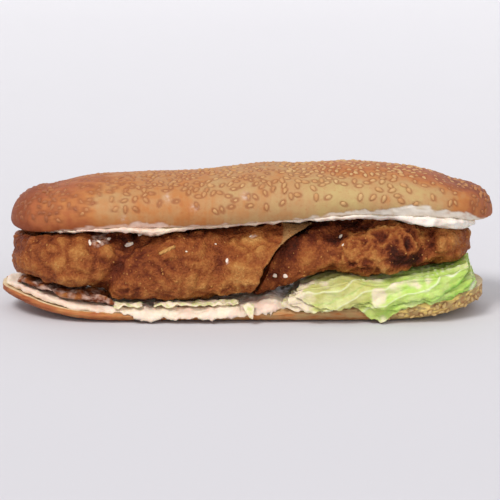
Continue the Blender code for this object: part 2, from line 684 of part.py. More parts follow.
def make_scrap(look):
    """A flat scrap of coating between the sauce and the left piece."""
    rings = []
    count = 10
    for r in range(count + 1):
        x = SCRAP_LEFT + (SCRAP_RIGHT - SCRAP_LEFT) * r / count
        ends = rounding(x, SCRAP_LEFT - 0.6, SCRAP_RIGHT + 0.6, 9, 9)
        low = sauce_top(x) + GAP
        tall = SCRAP_THICK * scrap_share(x) * (0.5 + 0.5 * ends) - 0.2
        front = -heel_half_width(x) + 1.5 + 1.2 * noise.noise(Vector((x, 0, 9)) * 0.2)
        deep = 6.0 + 12.0 * ends
        ring = []
        for i in range(10):
            turn = 2 * math.pi * i / 10
            y = front + deep * 0.5 * (1 + math.copysign(abs(math.cos(turn)) ** 0.7, math.cos(turn)))
            ring.append(Vector((x, y, low + tall * 0.5 * (1 + math.sin(turn)))))
        rings.append(ring)
    loft("escalope_scrap", rings, look)


def main():
    for obj in list(bpy.data.objects):
        bpy.data.objects.remove(obj)
    crust = material("crust", (0.56, 0.30, 0.13), 0.55)
    sesame = material("sesame", (0.72, 0.50, 0.26), 0.5)
    fried = material("fried coating", (0.33, 0.09, 0.025), 0.5)
    crumb = material("crumb", (0.72, 0.42, 0.20), 0.6)
    creamy = material("sauce", (0.72, 0.56, 0.42), 0.3)
    green = material("lettuce", (0.52, 0.68, 0.20), 0.4)
    draw = random.Random(11)
    make_heel(crust, sesame, draw)
    make_crown(crust, sesame, draw)
    make_lower_sauce(creamy)
    make_upper_sauce(creamy)
    make_lettuce(green)
    make_chicken(fried, crumb)


main()
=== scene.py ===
import math
import random

import bmesh
import bpy
from mathutils import Matrix, Vector, noise
from mathutils.bvhtree import BVHTree
from mathutils.kdtree import KDTree


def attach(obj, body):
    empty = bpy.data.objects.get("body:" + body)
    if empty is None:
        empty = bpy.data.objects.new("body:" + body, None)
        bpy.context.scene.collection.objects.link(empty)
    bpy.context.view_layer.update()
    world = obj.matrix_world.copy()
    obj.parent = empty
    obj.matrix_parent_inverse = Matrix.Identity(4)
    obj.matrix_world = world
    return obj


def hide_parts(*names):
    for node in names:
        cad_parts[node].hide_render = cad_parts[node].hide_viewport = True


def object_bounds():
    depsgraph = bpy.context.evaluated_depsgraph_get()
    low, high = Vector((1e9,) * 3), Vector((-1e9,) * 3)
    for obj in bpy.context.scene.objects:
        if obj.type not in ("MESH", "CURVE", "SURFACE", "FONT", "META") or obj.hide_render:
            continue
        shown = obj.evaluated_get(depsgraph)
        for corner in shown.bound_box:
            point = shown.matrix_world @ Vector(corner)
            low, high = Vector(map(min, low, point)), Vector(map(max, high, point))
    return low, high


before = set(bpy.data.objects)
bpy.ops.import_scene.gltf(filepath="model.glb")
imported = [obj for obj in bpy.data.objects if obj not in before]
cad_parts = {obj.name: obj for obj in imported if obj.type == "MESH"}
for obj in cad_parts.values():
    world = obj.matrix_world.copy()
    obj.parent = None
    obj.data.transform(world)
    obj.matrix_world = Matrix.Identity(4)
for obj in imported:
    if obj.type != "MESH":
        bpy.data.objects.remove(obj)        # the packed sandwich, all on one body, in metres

# Shapes are worked out in millimetres, and makePiece turns them into metres.
mm = 0.001
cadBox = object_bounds()
boxLow, boxHigh = cadBox[0] / mm, cadBox[1] / mm
inset = 0.05  # how far inside the frame's box every piece stays


# Curves and small functions that the forms share

def smoothStep(start, stop, value):
    share = min(max((value - start) / (stop - start), 0.0), 1.0)
    return share * share * (3 - 2 * share)


def bell(value, middle, width):
    return math.exp(-(((value - middle) / width) ** 2))


def mix(a, b, share):
    return a + (b - a) * share


def clamp(value, low=0.0, high=1.0):
    return min(max(value, low), high)


def smoothCurve(points):  # a smooth curve through (x, value) points, level beyond its ends
    xs, vs = zip(*points)
    sides = [(max(i - 1, 0), min(i + 1, len(xs) - 1)) for i in range(len(xs))]
    slopes = [(vs[b] - vs[a]) / (xs[b] - xs[a]) for a, b in sides]

    def value(x):
        if x <= xs[0]:
            return vs[0]
        if x >= xs[-1]:
            return vs[-1]
        i = max(k for k in range(len(xs) - 1) if xs[k] <= x)
        step = xs[i + 1] - xs[i]
        t = (x - xs[i]) / step
        leaving = vs[i] * (1 + 2 * t) * (1 - t) ** 2 + slopes[i] * step * t * (1 - t) ** 2
        return leaving + vs[i + 1] * t * t * (3 - 2 * t) + slopes[i + 1] * step * t * t * (t - 1)

    return value


def fractal(p, octaves):  # even noise, with finer noise on it at each octave
    return noise.fractal(p, 1.0, 2.0, octaves)


def ridges(p, octaves):  # the same with sharp crests, about 1 on average
    return noise.ridged_multi_fractal(p, 1.0, 2.1, octaves, 1.0, 2.0)


def drift(p):  # a smooth random shift, the same in every run
    across, up = Vector((9.3, -1.5, -7.9)), Vector((-4.2, 6.1, 3.7))
    return Vector((noise.noise(p), noise.noise(p + across), noise.noise(p + up)))


def rounding(x, left, right, leftLength, rightLength):  # 1 in the middle, 0 at both ends
    inward = min((x - left) / leftLength, (right - x) / rightLength, 1.0)
    return math.sqrt(max(0.0, 1.0 - (1.0 - max(inward, 0.0)) ** 2))


def stations(form, skin):  # places along half a roll, closer together at its ends
    left, right, atEnds, along = form["left"], form["right"], skin["atEnds"], skin["along"]
    inward = [1 - math.cos(math.pi / 2 * (i + 0.5) / atEnds) for i in range(atEnds)]
    start, stop = left + form["endLeft"], right - form["endRight"]
    middle = [start + (stop - start) * i / along for i in range(along + 1)]
    ends = [right - form["endRight"] * share for share in inward]
    return [left + form["endLeft"] * share for share in inward] + middle + ends[::-1]


# Node helpers

def addNode(tree, kind, inputs=None, **settings):
    made = tree.nodes.new("ShaderNode" + kind)
    for key, value in settings.items():
        setattr(made, key, value)
    for key, value in (inputs or {}).items():
        if isinstance(value, bpy.types.NodeSocket):
            tree.links.new(value, made.inputs[key])
        else:
            made.inputs[key].default_value = value
    return made


def calc(tree, operation, a, b):
    return addNode(tree, "Math", {0: a, 1: b}, operation=operation).outputs[0]


def mixColour(tree, share, *colours):  # each colour is a socket, or red, green and blue
    a, b = [c if isinstance(c, bpy.types.NodeSocket) else (*c, 1.0) for c in colours]
    return addNode(tree, "Mix", {0: share, 6: a, 7: b}, data_type="RGBA").outputs[2]


def ramp(tree, value, look, **stops):  # colours of a look, each at its own place from 0 to 1
    made = addNode(tree, "ValToRGB", {0: value})
    points = made.color_ramp.elements
    for extra in range(len(stops) - len(points)):
        points.new(0.5)
    for point, (colour, where) in zip(points, stops.items()):
        point.position = where
        point.color = (*look[colour], 1.0)
    return made.outputs[0]


def alongAxis(tree, axis, start, stop):  # 0 to 1 from start to stop, in metres along an axis
    where = addNode(tree, "TexCoord").outputs["Object"]
    along = addNode(tree, "SeparateXYZ", {0: where}).outputs[axis]
    given = {"Value": along, "From Min": start, "From Max": stop}
    return addNode(tree, "MapRange", given).outputs[0]


def field(tree, name):  # a number that the mesh carries at each of its points
    return addNode(tree, "Attribute", attribute_name=name, attribute_type="GEOMETRY").outputs["Fac"]


def makeMaterial(name, look, **constants):
    made = bpy.data.materials.new(name)
    made.use_nodes = True
    shader = made.node_tree.nodes["Principled BSDF"]
    shader.inputs["Roughness"].default_value = look["roughness"]
    for key, value in constants.items():
        shader.inputs[key.replace("_", " ")].default_value = value
    return made, made.node_tree, shader


def makeGroup(name, inputs, output):  # the group, its inputs, the place on the object and its output
    group = bpy.data.node_groups.new(name, "ShaderNodeTree")
    for label, value in inputs.items():
        socket = group.interface.new_socket(label, in_out="INPUT", socket_type="NodeSocketFloat")
        socket.default_value = value
    group.interface.new_socket(output, in_out="OUTPUT", socket_type="NodeSocketFloat")
    given, result = group.nodes.new("NodeGroupInput"), group.nodes.new("NodeGroupOutput")
    return group, given.outputs, addNode(group, "TexCoord").outputs["Object"], result.inputs[0]


def placeGroup(tree, group, **values):
    return addNode(tree, "Group", values, node_tree=group).outputs[0]


# Blotches of colour and fine grain, which several foods share

def makeBlotches():
    group, given, where, mask = makeGroup("blotches", {"Scale": 60.0, "Low": 0.35, "High": 0.65}, "Mask")
    cloud = addNode(group, "TexNoise", {"Vector": where, "Scale": given["Scale"], "Detail": 4.0})
    limits = {"Value": cloud.outputs[0], "From Min": given["Low"], "From Max": given["High"]}
    spread = addNode(group, "MapRange", limits, interpolation_type="SMOOTHSTEP")
    group.links.new(spread.outputs[0], mask)
    return group


def makeGrain():
    values = {"Fine": 1800.0, "Coarse": 500.0, "Pits": 0.4}
    group, given, where, height = makeGroup("grain", values, "Height")
    fine = addNode(group, "TexNoise", {"Vector": where, "Scale": given["Fine"], "Detail": 3.0})
    coarse = addNode(group, "TexNoise", {"Vector": where, "Scale": given["Coarse"], "Detail": 2.0})
    cells = addNode(group, "TexVoronoi", {"Vector": where, "Scale": given["Coarse"]})
    pits = calc(group, "MULTIPLY", cells.outputs["Distance"], given["Pits"])
    both = calc(group, "ADD", fine.outputs[0], coarse.outputs[0])
    group.links.new(calc(group, "SUBTRACT", both, pits), height)
    return group


blotches = makeBlotches()
grain = makeGrain()


def addBlotches(tree, scale, low, high):
    return placeGroup(tree, blotches, Scale=scale, Low=low, High=high)


def addFinish(tree, shader, colour, strength, depth, **texture):  # colour, and relief finer than the mesh
    tree.links.new(colour, shader.inputs["Base Color"])
    height = placeGroup(tree, grain, **texture)
    bump = addNode(tree, "Bump", {"Height": height, "Strength": strength, "Distance": depth})
    tree.links.new(bump.outputs[0], shader.inputs["Normal"])


# Making a piece

def keepInside(point):  # no piece leaves the frame's box
    for axis in range(3):
        point[axis] = clamp(point[axis], boxLow[axis] + inset, boxHigh[axis] - inset)
    return point


def addObject(name, data):
    made = bpy.data.objects.new(name, data)
    bpy.context.scene.collection.objects.link(made)
    return made


def addMesh(name, points, faces, material):  # the points are in metres
    mesh = bpy.data.meshes.new(name)
    mesh.from_pydata(points, [], faces)
    mesh.shade_smooth()
    mesh.materials.append(material)
    return addObject(name, mesh)


# Each row holds what the mesh carries at one point, a number for each of the labels.
def makePiece(name, points, faces, material, slotName, labels, rows, replaced=()):
    made = addMesh(name, [keepInside(Vector(p)) * mm for p in points], faces, material)
    for label, values in zip(labels.split(), zip(*rows)):
        made.data.attributes.new(label, "FLOAT", "POINT").data.foreach_set("value", values)
    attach(made, "root")
    if replaced:
        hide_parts(*replaced)
    print("made", name, len(made.data.polygons), "faces")


def closeRings(points, rings, around):  # quads between the rings, and a fan at each end
    faces = []
    for r in range(rings - 1):
        for i in range(around):
            a, b = r * around + i, r * around + (i + 1) % around
            faces.append((a, a + around, b + around, b))
    for first, turned in ((0, True), ((rings - 1) * around, False)):
        points.append(sum(points[first:first + around], Vector()) / around)
        middle = len(points) - 1
        for i in range(around):
            a, b = first + i, first + (i + 1) % around
            faces.append((middle, a, b) if turned else (middle, b, a))
    return faces


def normalsOf(points, faces):
    mesh = bpy.data.meshes.new("normals")
    mesh.from_pydata(points, [], faces)
    found = [v.vector.copy() for v in mesh.vertex_normals]
    bpy.data.meshes.remove(mesh)
    return found


def nodeShape(name, form):  # a fine even mesh of one solid, in millimetres
    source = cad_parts[name]
    shape = bmesh.new()
    shape.from_mesh(source.data)
    shape.transform(source.matrix_world)
    bmesh.ops.remove_doubles(shape, verts=shape.verts, dist=1e-6)
    mesh = bpy.data.meshes.new("shape of " + name)
    shape.to_mesh(mesh)
    shape.free()
    holder = addObject("shape of " + name, mesh)
    even = holder.modifiers.new("even", "REMESH")
    even.mode = "VOXEL"
    even.voxel_size = form["voxel"] * mm
    holder.modifiers.new("soft", "SMOOTH").iterations = form["smooth"]
    graph = bpy.context.evaluated_depsgraph_get()
    fine = bpy.data.meshes.new_from_object(holder.evaluated_get(graph))
    bpy.data.objects.remove(holder)
    points = [v.co / mm for v in fine.vertices]
    normals = [v.vector.copy() for v in fine.vertex_normals]
    faces = [tuple(p.vertices) for p in fine.polygons]
    bpy.data.meshes.remove(fine)
    return points, normals, faces


# The lower half of the roll

heelForm = {
    "left": -112.2, "right": 108.0, "halfWidth": 34.0, "endLeft": 46.0, "endRight": 30.0,
    "rim": [(-112, 12.4), (-103, 11.2), (-90, 7.8), (-76, 5.6), (-50, 5.0), (0, 6.2), (50, 7.6),
            (75, 9.2), (88, 10.8), (104, 12.8), (108, 13.0)],
    "flatLeft": -60.0, "flatRight": 60.0, "liftLeft": 9.8, "liftRight": 7.0,
    "section": [(0.72, 0.0), (0.87, 0.11), (0.96, 0.34), (1.0, 0.62), (0.985, 0.88), (0.95, 1.0)],
    "dent": 0.7,
}
heelRim = smoothCurve(heelForm["rim"])


def heelHalfWidth(x, out=0.0):
    form = heelForm
    ends = rounding(x, form["left"] - out, form["right"] + out, form["endLeft"] + out, form["endRight"] + out)
    return (form["halfWidth"] + out) * ends


def heelFoot(x):
    left, right = heelForm["flatLeft"], heelForm["flatRight"]
    if x < left:
        return heelForm["liftLeft"] * ((left - x) / (left - heelForm["left"])) ** 2
    if x > right:
        return heelForm["liftRight"] * ((x - right) / (heelForm["right"] - right)) ** 2
    return 0.0


def heelPoint(x, across, up):
    foot = heelFoot(x)
    y = across * heelHalfWidth(x)
    z = foot + up * (heelRim(x) - foot)
    dent = heelForm["dent"] * abs(noise.noise(Vector((x, y, z)) * 0.11)) if 0 < up < 1 else 0.0
    return Vector((x, y * (1 - dent / heelForm["halfWidth"]), z))


# The upper half of the roll

crownForm = {
    "left": -107.8, "right": 112.2, "halfWidth": 34.5, "back": 1.7, "endLeft": 52.0, "endRight": 38.0,
    "noseLeft": 17.0, "noseRight": 13.0, "noseLift": 5.0,
    "base": [(-108, 36.4), (-98, 36.4), (-67, 38.7), (-21, 39.8), (24, 43.3), (54, 45.2), (88, 43.8),
             (112, 40.6)],
    "rise": [(-108, 20.4), (-90, 20.4), (-74, 22.4), (-47, 23.8), (-20, 24.2), (0, 25.0), (30, 23.8),
             (65, 21.8), (84, 19.4), (95, 17.0), (112, 16.4)],
    "tuck": math.radians(24), "tilt": 0.12, "wave": 0.9,
}
crownBase = smoothCurve(crownForm["base"])
crownRise = smoothCurve(crownForm["rise"])


def crownWidth(x):
    form = crownForm
    return form["halfWidth"] * rounding(x, form["left"], form["right"], form["endLeft"], form["endRight"])


def crownNose(x):
    form = crownForm
    return rounding(x, form["left"], form["right"], form["noseLeft"], form["noseRight"])


def crownPoint(x, turn):
    form, nose = crownForm, crownNose(x)
    tuck = math.sin(form["tuck"])
    share = (math.sin(turn) + tuck) / (1 + tuck)
    y = crownWidth(x) * math.cos(turn)
    z = crownBase(x) + form["noseLift"] * (1 - nose) + crownRise(x) * nose * share - form["tilt"] * y
    wave = form["wave"] * noise.noise(Vector((x, y, z)) * 0.045) * max(share, 0.0) * nose
    return Vector((x, y + form["back"], z + wave))


def crownCut(x, y):
    form = crownForm
    return crownBase(x) + form["noseLift"] * (1 - crownNose(x)) - form["tilt"] * (y - form["back"])


def crownEdge(x):
    return crownWidth(x) * math.cos(crownForm["tuck"])


# Sesame

seedForm = {
    "length": 3.55, "width": 2.2, "depth": 1.6, "sink": 0.25, "tilt": 0.22, "heelSink": 0.4,
    "crownFirst": 138, "crownFirstSpacing": 6.8, "crownMore": 800, "crownSpacing": 2.5,
    "heelFirst": 20, "heelFirstSpacing": 7.5, "heelMore": 80, "heelSpacing": 3.4,
    "bareFront": 62.0, "heelTries": 9000, "crownTries": 30000,
}


def sow(seeds, more, tries, pick):  # adds seeds that keep their distance from all the others
    wanted = len(seeds) + more
    for attempt in range(tries):
        if len(seeds) >= wanted:
            break
        point, spin, spacing = pick()
        if spacing and all((point - seed[0]).length > spacing for seed in seeds):
            seeds.append((point, spin))


def heelSpot(draw, inLeft, inRight, low, high, spacing):  # on a side, where nothing covers the crust
    x = draw.uniform(heelForm["left"] + inLeft, heelForm["right"] - inRight)
    side = draw.choice((-1, 1))
    up = draw.uniform(low, high)
    spin = draw.uniform(0, math.pi)
    covered = side < 0 and x < seedForm["bareFront"]
    return heelPoint(x, side * (0.92 + 0.1 * up), up), spin, 0.0 if covered else spacing


def crownSpot(draw, inward, below):  # anywhere on the crust
    x = draw.uniform(crownForm["left"] + inward, crownForm["right"] - inward)
    turn = draw.uniform(math.radians(-below), math.radians(180 + below))
    return x, turn, draw.uniform(0, math.pi)


def heelSeedSpots(draw, drawMore):  # the first ones lie where the frame's own seeds do
    form, seeds = seedForm, []
    sow(seeds, form["heelFirst"], form["heelTries"],
        lambda: heelSpot(draw, 3.0, 2.0, 0.25, 0.6, form["heelFirstSpacing"]))
    sow(seeds, form["heelMore"], form["heelTries"],
        lambda: heelSpot(drawMore, 2.0, 1.5, 0.12, 0.7, form["heelSpacing"]))
    return seeds


def crownSeedSpots(draw, drawMore):  # closest on top and at the left end, sparse on the pale front
    form, seeds = seedForm, []

    def first():
        x, turn, spin = crownSpot(draw, 1.5, 2)
        return crownPoint(x, turn), spin, form["crownFirstSpacing"] * (1.25 - 0.35 * math.sin(turn))

    def later():
        x, turn, spin = crownSpot(drawMore, 0.8, 4)
        share = 0.16 + 0.84 * smoothStep(0.22, 0.75, math.sin(turn) - 0.002 * x) + smoothStep(-80, -100, x)
        share += 0.3 * smoothStep(90, 104, x)
        return crownPoint(x, turn), spin, form["crownSpacing"] if drawMore.random() < share else 0.0

    sow(seeds, form["crownFirst"], form["crownTries"], first)
    sow(seeds, form["crownMore"], form["crownTries"], later)
    return seeds


def standOn(spot, outward, along, spin):  # a place on a surface, with its Z outward
    level = (along - outward * along.dot(outward)).normalized()
    length = level * math.cos(spin) + outward.cross(level) * math.sin(spin)
    return Matrix.Translation(spot) @ Matrix((length, outward.cross(length), outward)).transposed().to_4x4()


def seedPlace(tree, point, spin):
    spot, outward = tree.find_nearest(point)[:2]
    along = Vector((0, 0, 1)) if abs(outward.x) > 0.8 else Vector((1, 0, 0))
    return standOn(spot + outward * seedForm["depth"] * (0.5 - seedForm["sink"]), outward, along, spin)


def jostle(place, draw):  # a seed isn't quite flat on the crust
    turn = Matrix.Rotation(draw.gauss(0, seedForm["tilt"]), 4, "X")
    return place @ turn @ Matrix.Rotation(draw.gauss(0, seedForm["tilt"] / 2), 4, "Y")


def dropShape(around, rings, blunt, taper, full):  # a seed where full is 1, a ball at 0.5, a rod below that
    points, faces = [Vector((-0.5, 0, 0))], []
    for r in range(1, rings):
        share = r / rings
        size = (1 - (2 * share ** blunt - 1) ** 2) ** full * (1 - taper * share)
        for i in range(around):
            turn = 2 * math.pi * i / around
            points.append(Vector((share - 0.5, 0.5 * size * math.cos(turn), 0.5 * size * math.sin(turn))))
    points.append(Vector((0.5, 0, 0)))
    faces += [(0, 1 + (i + 1) % around, 1 + i) for i in range(around)]
    for r in range(rings - 2):
        for i in range(around):
            a, b = 1 + r * around + i, 1 + r * around + (i + 1) % around
            faces.append((a, b, b + around, a + around))
    last = 1 + (rings - 2) * around
    faces += [(last + i, last + (i + 1) % around, len(points) - 1) for i in range(around)]
    return points, faces


def makeScatter(name, shape, items, wobble, material, slotName, label):  # many small things, one mesh
    points, faces, rows = [], [], []
    for place, stretch, tone in items:
        base = len(points)
        for p in shape[0]:
            spot = place @ Vector((p.x * stretch[0], p.y * stretch[1], p.z * stretch[2]))
            points.append(spot + drift(spot * 0.8) * wobble)
            rows.append((tone, p.x + 0.5))
        faces += [tuple(base + i for i in face) for face in shape[1]]
    makePiece(name, points, faces, material, slotName, label + " tip", rows)


def makeSeeds(name, places, baked, draw):
    items = []
    for place, bake in zip(places, baked):
        size = draw.uniform(0.86, 1.12)
        length = seedForm["length"] * size * draw.uniform(0.92, 1.08)
        width = seedForm["width"] * size * draw.uniform(0.88, 1.1)
        tone = clamp(bake + 0.34 * smoothStep(0.2, 0.8, place.col[2].z) + draw.uniform(-0.14, 0.14))
        items.append((jostle(place, draw), (length, width, seedForm["depth"] * size), tone))
    makeScatter(name, dropShape(8, 6, 0.8, 0.25, 1.0), items, 0.0, sesame, "crust", "tone")


def seedRims(points, places):  # how close each point of a crust is to a seed, 1 where it meets one; this lifts the crust there and paints shadow round each seed
    lookup = KDTree(len(points))
    for i, p in enumerate(points):
        lookup.insert(p, i)
    lookup.balance()
    near = [0.0] * len(points)
    for place in places:
        back = place.inverted()
        for spot, i, distance in lookup.find_range(place.translation, 3.6):
            local = back @ spot
            away = math.hypot(local.x / seedForm["length"], local.y / seedForm["width"]) * 2
            near[i] = max(near[i], 1 - smoothStep(0.95, 1.5, away))
    return near


# Bread

crustLook = {
    "butter": (0.92, 0.67, 0.21), "straw": (0.475, 0.345, 0.14), "golden": (0.45, 0.258, 0.112),
    "orange": (0.455, 0.172, 0.050), "brown": (0.36, 0.102, 0.035), "dark": (0.23, 0.052, 0.016),
    # rim is the colour of the shadow painted round each seed; its strength stands after speckle below
    "rim": (0.24, 0.070, 0.024), "crumb": (0.78, 0.64, 0.42), "dryCrumb": (0.66, 0.48, 0.27),
    "pinkFilm": (0.66, 0.47, 0.385), "whiteFilm": (0.72, 0.645, 0.555), "filmTurns": (-0.03, 0.05),
    "speckle": 0.25, "halo": 0.62, "roughness": 0.56,
}


def crustMaterial():
    look = crustLook
    made, tree, shader = makeMaterial("crust", look, Specular_IOR_Level=0.2)
    cloud = addBlotches(tree, 60.0, 0.3, 0.7)
    patches = addBlotches(tree, 190.0, 0.35, 0.65)
    specks = addBlotches(tree, 620.0, 0.56, 0.72)
    uneven = calc(tree, "ADD", calc(tree, "MULTIPLY", cloud, 0.14), calc(tree, "MULTIPLY", patches, 0.11))
    baked = calc(tree, "ADD", field(tree, "bake"), calc(tree, "SUBTRACT", uneven, 0.02))
    skin = ramp(tree, baked, look, butter=0.0, straw=0.12, golden=0.36, orange=0.6, brown=0.82, dark=1.0)
    skin = mixColour(tree, calc(tree, "MULTIPLY", specks, look["speckle"]), skin, look["brown"])
    # painted shadow: the crust darkens towards the rim colour round each seed
    skin = mixColour(tree, calc(tree, "MULTIPLY", field(tree, "halo"), look["halo"]), skin, look["rim"])
    film = mixColour(tree, alongAxis(tree, "X", *look["filmTurns"]), look["pinkFilm"], look["whiteFilm"])
    skin = mixColour(tree, field(tree, "film"), skin, film)
    crumb = mixColour(tree, patches, look["crumb"], look["dryCrumb"])
    colour = mixColour(tree, field(tree, "inside"), skin, crumb)
    addFinish(tree, shader, colour, 0.35, 0.0004, Fine=2600.0, Coarse=700.0, Pits=0.5)
    return made


sesameLook = {
    "butter": (0.64, 0.44, 0.18), "pale": (0.56, 0.37, 0.165), "middle": (0.51, 0.27, 0.105),
    "toasted": (0.42, 0.170, 0.060), "deep": (0.28, 0.085, 0.030), "tip": (0.28, 0.10, 0.036),
    "body": (0, 0, 0), "shoulder": (0.08, 0.08, 0.08), "point": (0.7, 0.7, 0.7), "roughness": 0.5,
}


def sesameMaterial():
    look = sesameLook
    made, tree, shader = makeMaterial("sesame", look, Specular_IOR_Level=0.3)
    body = ramp(tree, field(tree, "tone"), look, butter=0.0, pale=0.12, middle=0.4, toasted=0.7, deep=1.0)
    tipped = ramp(tree, field(tree, "tip"), look, body=0.0, shoulder=0.75, point=1.0)
    addFinish(tree, shader, mixColour(tree, tipped, body, look["tip"]), 0.15, 0.0002,
              Fine=4200.0, Coarse=1500.0, Pits=0.3)
    return made


crust = crustMaterial()
sesame = sesameMaterial()


crownSkin = {
    "lumps": 0.4, "wrinkles": 0.26, "seedRise": 0.15, "cutRough": 0.35, "filmThick": 0.35,
    "along": 200, "atEnds": 44, "arc": 150, "cut": 40,
    "bake": [(-108, 0.90), (-98, 0.76), (-86, 0.56), (-66, 0.42), (-34, 0.28), (20, 0.20), (50, 0.12),
             (76, 0.16), (92, 0.34), (102, 0.52), (112, 0.58)],
    "smudges": [(-35.5, 57.0, 1.5), (-23.5, 53.0, 1.7), (-1.0, 58.0, 1.4), (-55.0, 48.0, 1.2)],
    "filmTop": [(-92, -1.0), (-84, 0.4), (-66, 0.9), (-56, 1.6), (-46, 3.2), (-38, 2.6), (-30, 0.8),
                (-16, 0.2), (22, 0.3), (33, 1.5), (50, 2.4), (57, 2.0), (64, 3.4), (72, 4.6), (80, 5.0),
                (86, 3.6), (100, 3.4), (105, 1.2), (110, -1.0)],
}
bakeAlongCrown = smoothCurve(crownSkin["bake"])
filmTop = smoothCurve(crownSkin["filmTop"])


def crownBake(p, height):  # how far the crust is baked, from 0 pale to 1 dark
    top = mix(0.14, 0.50, smoothStep(10, 60, p.x)) * smoothStep(0.4, 0.95, height)
    under = 0.14 * smoothStep(0.1, -0.35, height) * smoothStep(-20, -60, p.x)
    return bakeAlongCrown(p.x) + top + under + 0.12 * noise.noise(p * 0.05)


def filmAt(p):  # sauce wiped over the foot of the crust in front, and a few pale smudges
    ragged = 1.3 * fractal(Vector((p.x * 0.22, p.z * 0.1, 4.0)), 4)
    left = filmTop(p.x) + ragged - (p.z - crownCut(p.x, p.y))
    wiped = smoothStep(-0.5, 0.5, left)
    thin = smoothStep(-0.5, 0.3, fractal(p * 0.35, 3) + 0.2 * left)
    smudge = max(bell(math.hypot(p.x - x, p.z - z), 0.0, radius) for x, z, radius in crownSkin["smudges"])
    cloud = clamp(0.4 + fractal(p * 0.8, 3))
    return max(wiped * mix(0.55, 1.0, thin), 0.75 * smudge * cloud) * smoothStep(-8, -20, p.y)


def makeCrown(draw):
    skin = crownSkin
    around = skin["arc"] + 1 + skin["cut"]
    sweep = math.pi + 2 * crownForm["tuck"]
    xs = stations(crownForm, skin)
    points, turns = [], []
    for x in xs:
        edge = crownEdge(x)
        for i in range(skin["arc"] + 1):
            turn = sweep * i / skin["arc"] - crownForm["tuck"]
            points.append(crownPoint(x, turn))
            turns.append(turn)
        for i in range(1, skin["cut"] + 1):
            y = crownForm["back"] - edge + 2 * edge * i / (skin["cut"] + 1)
            points.append(Vector((x, y, crownCut(x, y))))
            turns.append(None)
    faces = closeRings(points, len(xs), around)
    turns += [0.3, 0.3]
    tree = BVHTree.FromPolygons(points, faces)
    places = [seedPlace(tree, *spot) for spot in crownSeedSpots(draw, random.Random(5))]
    near = seedRims(points, places)
    normals = normalsOf(points, faces)
    shaped, rows = [], []
    for p, normal, turn, close in zip(points, normals, turns, near):
        if turn is None:
            push = skin["cutRough"] * fractal(p * 0.5, 3)
            rows.append((0.0, 1.0, close, 0.0))
        else:
            height = math.sin(turn)
            low = 1 - smoothStep(0.1, 0.7, height)
            lumps = skin["lumps"] * fractal(p * 0.06, 2)
            streak = Vector((p.x * 0.42, p.y * 0.10, p.z * 0.07))
            wrinkles = -skin["wrinkles"] * (0.35 + 0.65 * low) * abs(fractal(streak, 3))
            film = filmAt(p)
            lather = film * skin["filmThick"] * (1 + fractal(p * 0.5, 3))
            push = lumps + wrinkles + skin["seedRise"] * close + lather
            # painted shade: the crust is darker in its wrinkles, by half their depth
            rows.append((crownBake(p, height) - 0.5 * wrinkles, 0.0, close, film))
        shaped.append(p + normal * push)
    makePiece("crownCrust", shaped, faces, crust, "crust", "bake inside halo film", rows, ["bun_crown"])
    room = boxHigh.z - inset - 0.7  # a seed that stands higher is left out
    shown = [place for place in places if place.translation.z < room]
    baked = [0.2 + crownBake(place.translation, place.col[2].z) for place in shown]
    makeSeeds("crownSeeds", shown, baked, random.Random(21))


heelSkin = {
    "lumps": 0.3, "wrinkles": 0.3, "seedRise": 0.15,
    "along": 210, "atEnds": 40, "top": 34, "side": 34, "bottom": 20,
    "bake": [(-112, 0.66), (-90, 0.58), (-60, 0.46), (-20, 0.34), (20, 0.24), (56, 0.14), (70, -0.10),
             (96, -0.12), (108, 0.10)],
}


def heelOutline():  # shares of half width and height round half the section, evenly and closely spaced
    skin = heelSkin
    corners = heelForm["section"]
    flat, rim, last = corners[0][0], corners[-1][0], len(corners) - 1
    outline = [(flat * i / skin["bottom"], 0.0) for i in range(skin["bottom"])]
    side = smoothCurve([(i, corner[0]) for i, corner in enumerate(corners)])
    height = smoothCurve([(i, corner[1]) for i, corner in enumerate(corners)])
    steps = [last * i / skin["side"] for i in range(skin["side"] + 1)]
    outline += [(side(step), height(step)) for step in steps]
    return outline + [(rim * (1 - i / skin["top"]), 1.0) for i in range(1, skin["top"] + 1)]


def makeHeel(draw):
    skin = heelSkin
    bakeAlong = smoothCurve(skin["bake"])
    half = heelOutline()
    around = 2 * len(half) - 2
    section = [(-a, u) for a, u in half] + [(a, u) for a, u in half[-2:0:-1]]
    xs = stations(heelForm, skin)
    points, shares = [], []
    for x in xs:
        for across, up in section:
            points.append(heelPoint(x, across, up))
            shares.append((across, up))
    faces = closeRings(points, len(xs), around)
    shares += [(1.0, 0.5), (1.0, 0.5)]
    tree = BVHTree.FromPolygons(points, faces)
    sunk = Matrix.Translation((0, 0, -seedForm["heelSink"]))  # deeper in the crust than on the crown
    places = [seedPlace(tree, *spot) @ sunk for spot in heelSeedSpots(draw, random.Random(6))]
    near = seedRims(points, places)
    normals = normalsOf(points, faces)
    shaped, rows = [], []
    for p, normal, (across, up), close in zip(points, normals, shares, near):
        cut = smoothStep(0.97, 1.0, up)
        side = smoothStep(0.0, 0.1, up) * (1 - cut)
        streak = Vector((p.x * 0.16, p.y * 0.2, p.z * 0.9))
        wrinkles = -skin["wrinkles"] * abs(fractal(streak, 3)) * side
        lumps = -skin["lumps"] * abs(noise.noise(p * 0.2)) * side
        fleck = smoothStep(0.22, 0.42, fractal(Vector((p.x * 0.45, p.y * 0.45, p.z * 0.8)), 3))
        bake = bakeAlong(p.x) + 0.16 * (1 - up) + 0.26 * fractal(streak, 3)
        rows.append((bake + 0.30 * fleck * smoothStep(40, 66, p.x), cut, close, 0.0))
        shaped.append(p + normal * (wrinkles + lumps - 0.25 * fleck * side + skin["seedRise"] * close * side))
    makePiece("heelCrust", shaped, faces, crust, "crust", "bake inside halo film", rows, ["bun_heel"])
    makeSeeds("heelSeeds", places, [bakeAlong(place.translation.x) for place in places], random.Random(22))


seedDraw = random.Random(11)
makeHeel(seedDraw)
makeCrown(seedDraw)
print("bread done")
